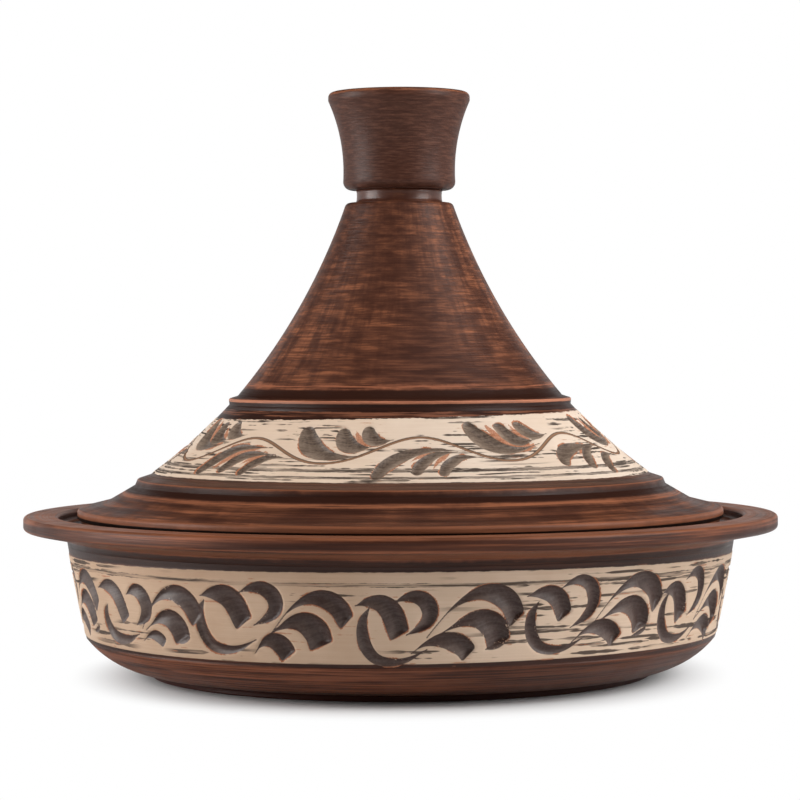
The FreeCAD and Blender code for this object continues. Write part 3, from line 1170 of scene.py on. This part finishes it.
@dataclass
class Dish(Thrown):
    """The cooking dish: foot ring, belly, carved wall, broad rim, the lid's gallery and the bowl."""

    foot_radius: float = 107.0
    foot_width: float = 8.0
    foot_height: float = 2.6
    foot_recess: float = 2.4
    foot_round: float = 0.8
    belly_low: Point = (113.5, 3.4)
    belly_bow: float = 2.0
    wall_low: Point = (133.8, 16.5)
    wall_high: Point = (141.4, 55.5)
    wall_bow: float = 0.35
    rim_radius: float = 160.0
    rim_top: float = 67.8
    rim_edge: float = 5.7
    rim_round: float = 1.6
    rim_root: Point = (141.9, 58.6)
    rim_root_round: float = 2.0
    gallery_radius: float = 145.3
    gallery_floor: float = 63.2
    ledge_radius: float = 126.5
    ledge_depth: float = 4.8
    edge_round: float = 1.5
    bowl_high: Point = (133.8, 47.0)
    bowl_low: Point = (129.6, 22.8)
    bowl_round: float = 12.0
    bowl_floor: Point = (101.0, 9.4)
    bowl_bow: float = 3.2
    slip_top: float = 52.8
    slip_top_wave: Point = (0.8, 0.14)  # height of the wave in the slip's edge, and the angle it starts at
    slip_foot: float = 18.1
    slip_foot_wave: Point = (0.5, 0.09)
    repeats: int = 13
    stray: float = 1.6  # millimetres by which a cut at the back strays from the pattern

    def section(self) -> tuple[Array, Array]:
        """Its half section, from the middle of its underside to the middle of its bowl.

        Returns:
            Radius and height of each row, and 1 for each row of the inside.
        """
        band = self.band()
        foot_inner = self.foot_radius - self.foot_width
        ledge_under = (self.ledge_radius, self.gallery_floor - self.ledge_depth)
        half = HalfSection((0.0, self.foot_recess), self.step)
        half.line((foot_inner - self.foot_recess, self.foot_recess), (foot_inner, 0.0))
        half.corners(((self.foot_radius, 0.0), self.foot_round),
                     ((self.foot_radius, self.foot_height), self.foot_round), ahead=self.belly_low)
        half.line(self.belly_low)
        half.bow(self.wall_low, -self.belly_bow)
        half.line(band.seat(self.wall_low), band.seat(self.wall_high), self.wall_high)
        half.corners((self.rim_root, self.rim_root_round),
                     ((self.rim_radius, self.rim_top - self.rim_edge), self.rim_round),
                     ((self.rim_radius, self.rim_top), self.rim_round),
                     ((self.gallery_radius, self.rim_top), self.rim_round),
                     ((self.gallery_radius, self.gallery_floor), self.edge_round),
                     ((self.ledge_radius, self.gallery_floor), self.edge_round), ahead=ledge_under)
        half.go_inside()
        half.line(ledge_under, self.bowl_high)
        half.corners((self.bowl_low, self.bowl_round), ahead=self.bowl_floor)
        half.bow(self.bowl_floor, self.bowl_bow)
        half.line((0.0, self.bowl_floor[1]))
        return half.rows()

    def band(self) -> CarvedBand:
        """The ring of wall that carries the slip and the scroll."""
        return CarvedBand(self.wall_low, self.wall_high, self.wall_bow, rows=76, columns=1200, thickness=2.6)

    def carve(self, band: CarvedBand) -> Carving:
        """Cuts every repeat of the scroll: those at the front as they are, the others spread and strayed.

        Args:
            band: The ring of wall.

        Returns:
            Its cuts.
        """
        face = band.face()
        carving = Carving(angles_round(band.columns), face[:, 1], face[:, 0], band.scoop)
        chance = np.random.default_rng(self.seed)
        spare = self.repeats - len(FRONT_REPEATS)
        gaps = np.linspace(FRONT_REPEATS[-1].start, 360.0 + FRONT_REPEATS[0].start, spare + 2)[1:-1]
        drift = chance.uniform(-self.stray, self.stray, (spare, len(SCROLL), 2))
        others = [Repeat(start, tuple(Fit(*move) for move in moves)) for start, moves in zip(gaps, drift)]
        for repeat in (*FRONT_REPEATS, *others):
            for stroke, fit in zip(SCROLL, repeat.fits):
                carving.cut(stroke.fitted(fit), math.radians(repeat.start))
        return carving

    def slip_edges(self, carving: Carving) -> Array:
        """How far each grid point is inside the slip, whose two edges wave slowly round the dish.

        Args:
            carving: The cuts, with the grid.

        Returns:
            Millimetres, above 0 inside the slip.
        """
        (top_wave, top_start), (foot_wave, foot_start) = self.slip_top_wave, self.slip_foot_wave
        high = self.slip_top + top_wave * np.cos(2.0 * (carving.angle - top_start))
        low = self.slip_foot + foot_wave * np.sin(2.0 * (carving.angle - foot_start))
        height = carving.along[:, None]
        return np.minimum(high - height, height - low)

    def build(self) -> None:
        """Makes and dresses the dish and its band."""
        bowl = self.turned("dish", self.section())
        settle(bowl, "base_dish", "base", DISH_CLAY.material())
        band = self.band()
        carving = self.carve(band)
        ring = band.build("dish_band", carving, self.slip_edges(carving), self.roundness(band.columns))
        settle(ring, "base_slip_band", "base", DISH_SLIP.material())


def leaf(width: float, widest: float, lead: float, end: float, *path: Point, gap: float = 0.0) -> Stroke:
    """A leaf of the lid, from a fine tail to a round end: round from a bend of the vine, and down."""
    return Stroke(path, width, widest, lead, end, Tip.ROUND, gap=gap)


FULL_FIRST = leaf(9.5, 0.74, 1.4, 0.63, (14.5, 24.6), (8.0, 25.4), (1.0, 24.6), (-5.2, 21.6), (-8.2, 18.5),
                  (-10.8, 14.8), (-12.5, 11.0))
FULL_SECOND = leaf(8.3, 0.64, 1.2, 0.65, (18.0, 19.6), (12.8, 20.0), (8.6, 18.9), (5.8, 14.8), (4.9, 11.6))
FULL_THIRD = leaf(6.9, 0.7, 1.4, 0.7, (27.0, 15.4), (21.5, 16.4), (18.3, 15.6), (16.3, 12.4), (15.9, 10.2),
                  gap=2.4)
LONG_FIRST = leaf(9.6, 0.76, 1.95, 0.62, (18.0, 18.7), (8.5, 21.3), (2.5, 21.8), (-3.2, 20.4), (-8.0, 16.9),
                  (-11.7, 11.7), (-12.9, 8.8))
LONG_SECOND = leaf(7.5, 0.66, 1.45, 0.78, (16.8, 16.5), (11.5, 17.0), (6.9, 16.4), (4.1, 13.7), (2.0, 9.4),
                   gap=3.6)
LONG_THIRD = leaf(7.0, 0.78, 1.45, 0.77, (26.4, 13.3), (21.8, 14.0), (17.0, 13.3), (13.9, 10.7),
                  (12.8, 8.6), gap=2.2)
BROAD_FROND = leaf(7.6, 0.8, 1.65, 0.8, (12.5, 20.5), (3.7, 20.6), (-4.5, 21.1), (-9.5, 23.8),
                   (-13.4, 28.4), (-16.7, 35.0))
LONG_FROND = leaf(6.8, 0.8, 1.7, 0.72, (19.0, 22.3), (8.0, 21.4), (0.3, 22.0), (-5.0, 23.8), (-10.0, 26.9),
                  (-14.1, 31.4), (-16.6, 36.6))
SHORT_FROND = leaf(7.0, 0.78, 1.55, 0.7, (18.0, 20.8), (7.0, 21.3), (-1.3, 22.0), (-7.2, 24.0),
                   (-11.0, 27.2), (-12.4, 30.0))
BROAD_SECOND = leaf(6.4, 0.8, 1.4, 0.84, (16.0, 24.5), (7.8, 24.2), (1.9, 25.5), (-2.3, 28.9), (-4.8, 33.6),
                    gap=3.2)
SLIM_SECOND = leaf(5.5, 0.83, 1.15, 0.85, (14.5, 22.6), (9.5, 23.1), (3.8, 25.4), (-0.8, 30.4),
                   (-2.4, 34.0), gap=1.6)
SLIM_THIRD = leaf(5.3, 0.72, 1.35, 0.82, (24.0, 26.1), (18.5, 25.6), (14.1, 26.3), (9.5, 30.4), (7.3, 34.8),
                  gap=2.5)


@dataclass(frozen=True)
class Spray:
    """Three leaves beside a bend of the lid's vine."""

    leaves: tuple[Stroke, Stroke, Stroke]
    moves: tuple[Point, Point, Point] = ((0.0, 0.0), (0.0, 0.0), (0.0, 0.0))  # how far the hand moved each


UNDER_SPRAYS = (
    Spray((BROAD_FROND, BROAD_SECOND, SLIM_THIRD), ((0.0, 0.0), (0.0, 0.0), (-1.3, 0.4))),
    Spray((LONG_FROND, SLIM_SECOND, SLIM_THIRD)),
    Spray((SHORT_FROND, SLIM_SECOND, SLIM_THIRD), ((0.0, 0.0), (3.9, -1.3), (4.6, 1.4))),
)
OVER_SPRAYS = (
    Spray((FULL_FIRST, FULL_SECOND, FULL_THIRD)),
    Spray((LONG_FIRST, LONG_SECOND, LONG_THIRD)),
    Spray((LONG_FIRST, LONG_SECOND, LONG_THIRD), ((-1.0, -2.2), (-1.0, -1.5), (-1.0, -1.0))),
)


@dataclass
class Lid(Thrown):
    """The conical lid: neck, cone, two stepped beads round the carved band, skirt, lip and seat."""

    seed: int = 8
    out_of_true: float = 0.0015
    wall: float = 6.6
    neck_radius: float = 18.4
    neck_top: float = 205.3
    neck_waist: float = 0.3
    neck_round: float = 0.3
    shoulder: Point = (22.7, 199.8)
    shoulder_round: float = 2.2
    cone_top: Point = (23.9, 196.4)
    cone_foot: Point = (69.2, 117.9)
    cone_bow: float = 4.0
    upper_step: Point = (73.1, 116.7)
    upper_under: Point = (72.8, 114.2)
    upper_round: float = 0.4
    band_top: Point = (74.4, 112.5)
    band_foot: Point = (106.6, 84.5)
    band_bow: float = 1.0
    lower_step: Point = (111.9, 82.8)
    lower_under: Point = (113.0, 80.2)
    lower_round: float = 0.5
    step_round: float = 0.9
    skirt_foot: Point = (124.4, 73.6)
    skirt_round: float = 9.0
    lip: Point = (137.3, 70.4)
    lip_depth: float = 3.6
    lip_round: float = 1.6
    seat_radius: float = 135.6
    seat_width: float = 6.6
    seat_height: float = 63.2
    seat_round: float = 0.4
    cavity_top: Point = (21.5, 184.0)
    cavity_crown: Point = (8.0, 192.0)
    cavity_bow: float = 1.8
    front_crests: tuple[float, ...] = (-43.0, 5.3, 51.3)
    periods: int = 8
    stray: float = 0.8  # millimetres by which a leaf at the back strays from the pattern
    vine_middle: float = 21.7
    vine_swing: float = 7.3
    vine_lean: float = 1.4
    vine_width: float = 1.35
    slip_top: float = 3.6
    slip_lean: float = 2.0
    slip_foot: float = 41.1
    slip_stray: float = 0.5

    def within(self, point: Point, start: Point, end: Point) -> Point:
        """The point moved through the wall, square to the way from start to end."""
        run = np.subtract(end, start)
        return tuple(np.array(point) + np.array([run[1], -run[0]]) / np.linalg.norm(run) * self.wall)

    def section(self) -> tuple[Array, Array]:
        """Its half section, drawn down the outside and back up the inside, then turned about.

        Returns:
            Radius and height of each row, and 1 for each row of the inside.
        """
        band = self.band()
        lip_under = (self.lip[0], self.lip[1] - self.lip_depth)
        seat_top = (self.seat_radius, lip_under[1] - (self.lip[0] - self.seat_radius))
        seat_inner = (self.seat_radius - self.seat_width, self.seat_height)
        lip_inner = self.within(self.skirt_foot, self.skirt_foot, self.lip)
        seat_root = (seat_inner[0], lip_inner[1])
        half = HalfSection((0.0, self.neck_top), self.step)
        half.line((self.neck_radius, self.neck_top))
        half.bow((self.neck_radius, self.shoulder[1] + self.neck_round), -self.neck_waist)
        half.corners(((self.neck_radius, self.shoulder[1]), self.neck_round),
                     (self.shoulder, self.shoulder_round), ahead=self.cone_top)
        half.line(self.cone_top)
        half.bow(self.cone_foot, -self.cone_bow)
        half.corners((self.upper_step, self.step_round), (self.upper_under, self.upper_round),
                     ahead=self.band_top)
        half.line(self.band_top, band.seat(self.band_top), band.seat(self.band_foot), self.band_foot)
        half.corners((self.lower_step, self.step_round), (self.lower_under, self.lower_round),
                     (self.skirt_foot, self.skirt_round), (self.lip, self.lip_round), ahead=lip_under)
        half.line(lip_under, seat_top)
        half.corners(((self.seat_radius, self.seat_height), self.seat_round), ahead=seat_inner)
        half.go_inside()
        half.corners((seat_inner, self.seat_round), ahead=seat_root)
        half.line(seat_root, lip_inner, self.within(self.lower_under, self.lower_under, self.skirt_foot),
                  self.within(self.band_foot, self.band_top, self.band_foot))
        half.bow(self.within(self.cone_foot, self.cone_top, self.cone_foot), self.band_bow)
        half.bow(self.cavity_top, self.cone_bow)
        half.bow(self.cavity_crown, -self.cavity_bow)
        half.line((0.0, self.cavity_crown[1]))
        points, inner = half.rows()
        return points[::-1], inner[::-1]

    def band(self) -> CarvedBand:
        """The ring of wall that carries the slip and the vine."""
        return CarvedBand(self.band_foot, self.band_top, -self.band_bow, rows=78, columns=1120,
                          thickness=4.2, scoop=0.28)

    def crests(self) -> Array:
        """Angles of the vine's crests, those at the front where they are and the rest evenly spread.

        Returns:
            One angle for each period of the vine.
        """
        front = np.radians(self.front_crests)
        spare = self.periods - len(front)
        return np.concatenate([front, np.linspace(front[-1], front[0] + TURN, spare + 2)[1:-1]])

    def vine(self, carving: Carving) -> Array:
        """How far each grid point is inside the vine, a line incised in waves.

        The wave is middle - lean * sin(angle) - swing * cos(phase), where phase goes once round between
        crests. The distance to it is measured down the wall and then shortened by the wave's slope.

        Args:
            carving: The cuts, with the grid.

        Returns:
            Millimetres, above 0 inside the line.
        """
        angle = carving.angle
        crests = self.crests()
        twice = np.append(crests, crests + TURN)
        onward = np.where(angle < crests[0], angle + TURN, angle)
        phase = np.interp(onward, twice, TURN * np.arange(len(twice)))
        wave = self.vine_middle - self.vine_lean * np.sin(angle) - self.vine_swing * np.cos(phase)
        pace = self.periods * self.vine_swing * np.sin(phase) / carving.radius[:, None]
        return 0.5 * self.vine_width - np.abs(carving.along[:, None] - wave) / np.sqrt(1.0 + pace**2)

    def carve(self, band: CarvedBand) -> Carving:
        """Cuts three leaves under each crest of the vine and three over each hollow, and then the vine.

        Args:
            band: The ring of wall.

        Returns:
            Its cuts.
        """
        down = (1.0 - band.shares()) * band.length()
        carving = Carving(angles_round(band.columns), down, band.face()[:, 0], band.scoop)
        chance = np.random.default_rng(self.seed)
        crests = self.crests()
        hollows = crests + 0.5 * np.diff(np.append(crests, crests[0] + TURN))
        for sprays, places in ((UNDER_SPRAYS, crests), (OVER_SPRAYS, hollows)):
            drift = chance.uniform(-self.stray, self.stray, (self.periods, 3, 2))
            drift[:len(sprays)] = 0.0
            for number, place in enumerate(places):
                spray = sprays[number % len(sprays)]
                for stroke, move, strayed in zip(spray.leaves, spray.moves, drift[number]):
                    carving.cut(stroke.fitted(Fit(*(strayed + move))), place)
        carving.values["vine"] = self.vine(carving)
        carving.depth = np.maximum(carving.depth, carving.values["vine"])
        return carving

    def slip_edges(self, carving: Carving) -> Array:
        """How far each grid point is inside the slip, whose upper edge leans across the lid.

        Args:
            carving: The cuts, with the grid.

        Returns:
            Millimetres, above 0 inside the slip.
        """
        high = self.slip_top - self.slip_lean * np.sin(carving.angle)
        low = self.slip_foot - wander(carving.angle, self.seed, self.slip_stray)
        down = carving.along[:, None]
        return np.minimum(down - high, low - down)

    def build(self) -> None:
        """Makes and dresses the lid and its band."""
        cone = self.turned("lid", self.section())
        settle(cone, "lid_cone", "lid", LID_CLAY.material())
        band = self.band()
        carving = self.carve(band)
        ring = band.build("lid_band", carving, self.slip_edges(carving), self.roundness(band.columns))
        settle(ring, "lid_slip_band", "lid", LID_SLIP.material())


@dataclass
class Knob(Thrown):
    """The knob: a flared cup on the lid's neck, to lift it by and to hold cool water."""

    step: float = 1.2
    columns: int = 256
    seed: int = 12
    out_of_true: float = 0.003
    foot_radius: float = 23.95
    foot_round: float = 3.4
    foot_height: float = 205.3
    waist_height: float = 209.0
    rim: Point = (30.2, 243.2)
    top: float = 246.8
    bow: float = 2.1
    rim_width: float = 4.4
    rim_round: float = 2.1
    cup_floor: Point = (12.0, 216.5)
    cup_waist: Point = (18.9, 222.5)

    def section(self) -> tuple[Array, Array]:
        """Its half section, from the middle of its foot to the middle of its cup.

        Returns:
            Radius and height of each row, and 1 for each row of the inside.
        """
        waist = (self.foot_radius, self.waist_height)
        half = HalfSection((0.0, self.foot_height), self.step)
        half.corners(((self.foot_radius, self.foot_height), self.foot_round), ahead=waist)
        half.line(waist)
        half.bow(self.rim, self.bow)
        half.corners(((self.rim[0], self.top), self.rim_round),
                     ((self.rim[0] - self.rim_width, self.top), self.rim_round), ahead=self.cup_waist)
        half.go_inside()
        half.line(self.cup_waist)
        half.bow(self.cup_floor, self.bow)
        half.line((0.0, self.cup_floor[1]))
        return half.rows()

    def build(self) -> None:
        """Makes and dresses the knob."""
        cup = self.turned("knob", self.section())
        settle(cup, "lid_knob", "lid", KNOB_CLAY.material())


SOOT = (0.029, 0.010, 0.006)
# Red of bare and worn clay; on rounded edges also a painted highlight.
RUST_AND_HIGHLIGHT = (0.31, 0.11, 0.052)
WORN = (0.46, 0.18, 0.10)
UMBER = (0.075, 0.05, 0.038)
UNSMOKED = (0.16, 0.06, 0.034)
DISH_CLAY = ClayFinish(
    "Dish clay", deep=(0.036, 0.011, 0.006), body=(0.140, 0.044, 0.021), warm=(0.34, 0.112, 0.05), slope=1.0,
    drawn=(1.4, 0.5), brushed=0.0, warmth=0.9, lined=0.6, inner=UNSMOKED, gloss=0.2, foot_shade=0.62,
    zones=(
        Zone((0.05, 0.011, 0.006), Level.HEIGHT, -3.0, 2.4, 0.5),
        Zone((0.33, 0.112, 0.053), Level.HEIGHT, 4.0, 15.8, 1.5, 2.0, 1.0, 0.6),
        Zone(SOOT, Level.HEIGHT, 16.4, 18.2, 0.5, 0.8, 0.3),
        Zone(SOOT, Level.HEIGHT, 52.4, 57.6, 0.8, 2.4, 0.15),
        Zone((0.20, 0.073, 0.037), Level.HEIGHT, 58.2, 61.0, 0.5, 1.4, 0.6),
        Zone(SOOT, Level.HEIGHT, 62.4, 65.2, 0.8, 1.5, 0.9, 0.45),
        # Worn top edge of the rim, partly a painted highlight along it.
        Zone(RUST_AND_HIGHLIGHT, Level.HEIGHT, 66.7, 68.4, 0.4, 0.6, 0.6, 0.6),
    ))
LID_CLAY = ClayFinish(
    "Lid clay", deep=(0.042, 0.015, 0.010), body=(0.136, 0.049, 0.026), warm=(0.32, 0.112, 0.051),
    slope=-1.0, drawn=(3.3, 0.24), brushed=0.36, warmth=0.9, lined=0.58, inner=UNSMOKED,
    polished=(200.2, 205.0), zones=(
        Zone((0.10, 0.034, 0.02), Level.HEIGHT, 200.0, 206.0, 0.3, 0.0, 0.3, 0.7),
        Zone((0.36, 0.125, 0.062), Level.HEIGHT, 121.6, 123.2, 0.8, 2.5, 0.95, 0.7),
        Zone(SOOT, Level.HEIGHT, 117.2, 121.0, 0.5, 0.8),
        Zone(SOOT, Level.HEIGHT, 108.3, 115.7, 0.3, 0.3),
        Zone((0.25, 0.092, 0.048), Level.HEIGHT, 110.4, 112.4, 0.25, 1.6, 1.0, 0.7),
        Zone(WORN, Level.HEIGHT, 115.6, 116.8, 0.15, 0.3, 0.3),
        Zone((0.075, 0.040, 0.028), Level.RADIUS, 105.0, 111.0, 0.5, 0.6),
        Zone((0.20, 0.08, 0.045), Level.RADIUS, 105.5, 110.5, 0.6, 1.6, 1.0, 0.35),
        Zone(SOOT, Level.RADIUS, 112.2, 116.5, 0.6, 0.8),
        Zone(RUST_AND_HIGHLIGHT, Level.RADIUS, 111.4, 111.9, 0.2, 0.3, 0.3, 0.7),
        Zone(RUST_AND_HIGHLIGHT, Level.RADIUS, 117.2, 119.4, 0.6, 1.2, 0.85, 0.8),
        Zone(SOOT, Level.RADIUS, 119.8, 123.2, 0.8, 1.2, 0.6, 0.65),
        Zone(SOOT, Level.RADIUS, 126.5, 132.0, 0.8, 1.2, 0.6, 0.6),
        # A painted highlight along the lid's rounded lip.
        Zone(RUST_AND_HIGHLIGHT, Level.RADIUS, 136.3, 139.0, 0.3, 0.4, 0.3, 0.6),
        # Painted shadow: near black on the lip's face, for the dark gap inside the dish's gallery.
        Zone((0.006, 0.003, 0.002), Level.HEIGHT, 66.2, 67.9, 0.2),
    ))
KNOB_CLAY = ClayFinish(
    "Knob clay", deep=(0.050, 0.018, 0.011), body=(0.086, 0.033, 0.021), warm=(0.150, 0.064, 0.040),
    slope=-1.0, drawn=(4.2, 1.9), brushed=0.05, warmth=0.6, lined=0.45, inner=(0.10, 0.045, 0.03),
    # A painted highlight along the knob's rounded top rim.
    zones=(Zone(RUST_AND_HIGHLIGHT, Level.HEIGHT, 245.4, 246.4, 0.4, 1.2, 0.8, 0.7),))
DISH_SLIP = SlipFinish(
    "Dish slip", DISH_CLAY, pale=(0.67, 0.51, 0.385), shade=(0.58, 0.42, 0.30), umber=(0.060, 0.041, 0.031),
    floor=(0.036, 0.015, 0.011), floor_dust_and_sheen=(0.135, 0.095, 0.079), dusty=0.38, raw=(0.42, 0.18, 0.095),
    vine=None, dryness=0.95, dab_pitch=3.1,
    rings=(Zone(UMBER, Level.HEIGHT, 47.9, 49.4, 0.12, 1.8, 0.75),),
    raw_width=0.4, ragged=0.12, torn=(30.0, 45.0), side_shade=(0.81, 0.745, 0.69), spared=0.1, sheen=0.14)
LID_SLIP = SlipFinish(
    "Lid slip", LID_CLAY, pale=(0.735, 0.60, 0.485), shade=(0.65, 0.505, 0.39), umber=(0.036, 0.023, 0.017),
    floor=(0.070, 0.045, 0.033), floor_dust_and_sheen=(0.29, 0.215, 0.16), dusty=0.55, raw=(0.50, 0.215, 0.115),
    vine=(0.26, 0.14, 0.08), dryness=0.95, dab_pitch=3.5,
    rings=(Zone(UMBER, Level.RADIUS, 98.8, 100.3, 0.12, 1.3, 0.3),
           Zone(UMBER, Level.RADIUS, 102.4, 103.6, 0.12, 1.1, 0.35)),
    raw_width=0.62, ragged=0.45, torn=(92.0, 104.0), side_shade=(0.97, 0.925, 0.88), spared=0.03, sheen=0.1)


@dataclass(frozen=True)
class Softbox:
    """A soft studio lamp, with its places in metres."""

    name: str
    azimuth: float  # degrees round from the camera, to the right
    height: float  # above the table
    distance: float  # from the axis
    size: Point
    power: float  # watts
    shines: bool = True  # whether glossy surfaces mirror it


def bare_graph(owner: Material | bpy.types.World) -> Graph:
    """Empties the shader tree of a material or a world.

    Args:
        owner: The material or the world.

    Returns:
        Its graph.
    """
    owner.use_nodes = True
    owner.node_tree.nodes.clear()
    return Graph(owner.node_tree)


@dataclass
class Studio:
    """The white table, the lamps and the camera, with their places in metres."""

    target: float = 0.11
    floor_size: float = 8.0
    floor_colour: Colour = (0.8, 0.8, 0.8)
    shadow_reach: Point = (0.119, 0.168)
    shadow_squeeze: float = 1.18
    ambient: float = 0.1
    backdrop_radius: float = 2.2
    backdrop_height: float = 0.85
    backdrop_side: float = 100.0
    backdrop_columns: int = 81
    backdrop_glow: float = 0.65
    lens: float = 126.0
    sensor: float = 36.0
    camera_distance: float = 1.196
    camera_height: float = 0.1406
    camera_tilt: float = 1.19
    camera_roll: float = -0.2
    lamps: tuple[Softbox, ...] = (
        Softbox("left_softbox", -80.0, 0.32, 1.2, (0.8, 0.9), 14.2),
        Softbox("right_softbox", 69.0, 0.7, 1.2, (0.8, 1.0), 15.5),
        Softbox("top_softbox", 40.0, 1.5, 0.5, (1.2, 1.2), 11.0, False),
    )

    def build_floor(self) -> None:
        """A white table that keeps the pot's shadow beside it, and reads as pure white further out."""
        side = np.array([-0.5, 0.5]) * self.floor_size
        x, y = np.meshgrid(side, side)
        points = np.stack([x, y, np.zeros_like(x)], axis=-1).reshape(-1, 3)
        table = mesh_object("table", points, [[0, 1, 3, 2]])
        material = bpy.data.materials.new("White table")
        graph = bare_graph(material)
        squeeze = (self.shadow_squeeze * MM, MM, 0.0)
        squeezed = graph.vector("MULTIPLY", {0: graph.place()[0], 1: squeeze})
        away = graph.vector("LENGTH", {0: squeezed}, "Value")
        white = away.step(*self.shadow_reach) * graph.add("LightPath", {}, "Is Camera Ray")
        diffuse = graph.add("BsdfDiffuse", {"Color": self.floor_colour})
        glow = graph.add("Emission", {"Color": WHITE})
        graph.node("OutputMaterial", {"Surface": graph.add("MixShader", {0: white, 1: diffuse, 2: glow})})
        table.data.materials.append(material)

    def build_backdrop(self) -> None:
        """A half round of white paper behind the pot: x = R sin(a), y = R cos(a), up to its height.

        It lights the pot and shows in its shine. The camera sees past it, so it hides nothing from behind.
        """
        count = self.backdrop_columns
        angle = np.radians(np.linspace(-self.backdrop_side, self.backdrop_side, count))
        x, y = self.backdrop_radius * np.sin(angle), self.backdrop_radius * np.cos(angle)
        rows = [np.stack([x, y, np.full_like(x, level)], axis=-1) for level in (0.0, self.backdrop_height)]
        low = np.arange(count - 1)
        faces = np.stack([low, low + count, low + count + 1, low + 1], axis=-1)
        paper = mesh_object("backdrop", np.concatenate(rows), faces.tolist())
        paper.visible_camera = False
        material = bpy.data.materials.new("White paper")
        graph = bare_graph(material)
        glow = graph.add("Emission", {"Color": WHITE, "Strength": self.backdrop_glow})
        graph.node("OutputMaterial", {"Surface": glow})
        paper.data.materials.append(material)

    def build_world(self) -> None:
        """White to the camera, dark in reflections, and a dim even light otherwise."""
        world = bpy.data.worlds.new("White room")
        bpy.context.scene.world = world
        graph = bare_graph(world)
        dim = graph.add("LightPath", {}, "Is Glossy Ray").spread(self.ambient, 0.0)
        strength = dim.most(graph.add("LightPath", {}, "Is Camera Ray"))
        room = graph.add("Background", {"Color": WHITE, "Strength": strength})
        graph.node("OutputWorld", {"Surface": room})

    def build_lamps(self) -> None:
        """The softboxes, each turned to face the pot."""
        for box in self.lamps:
            data = bpy.data.lights.new(box.name, "AREA")
            data.shape = "RECTANGLE"
            data.size, data.size_y = box.size
            data.energy = box.power
            lamp = bpy.data.objects.new(box.name, data)
            bpy.context.scene.collection.objects.link(lamp)
            angle = math.radians(box.azimuth)
            lamp.location = (box.distance * math.sin(angle), -box.distance * math.cos(angle), box.height)
            aim = Vector((0.0, 0.0, self.target)) - lamp.location
            lamp.rotation_euler = aim.to_track_quat("-Z", "Y").to_euler()
            lamp.visible_glossy = box.shines

    def build_camera(self) -> None:
        """A long lens a little above the middle of the pot, tilted slightly down."""
        data = bpy.data.cameras.new("camera")
        data.lens = self.lens
        data.sensor_width = self.sensor
        camera = bpy.data.objects.new("camera", data)
        bpy.context.scene.collection.objects.link(camera)
        tilt = Matrix.Rotation(math.radians(90.0 - self.camera_tilt), 4, "X")
        roll = Matrix.Rotation(math.radians(self.camera_roll), 4, "Z")
        spot = Matrix.Translation((0.0, -self.camera_distance, self.camera_height))
        camera.matrix_world = spot @ tilt @ roll
        bpy.context.scene.camera = camera

    def build(self) -> None:
        """Sets up the whole studio."""
        self.build_floor()
        self.build_backdrop()
        self.build_world()
        self.build_lamps()
        self.build_camera()
        bpy.context.scene.view_settings.view_transform = "Standard"
        LOG.info("studio: %d lamps", len(self.lamps))


def main() -> None:
    """Builds the dish, the lid and the knob, then the studio."""
    logging.basicConfig(level=logging.INFO, format="%(name)s: %(message)s")
    Dish().build()
    Lid().build()
    Knob().build()
    Studio().build()


if __name__ == "__main__":
    main()
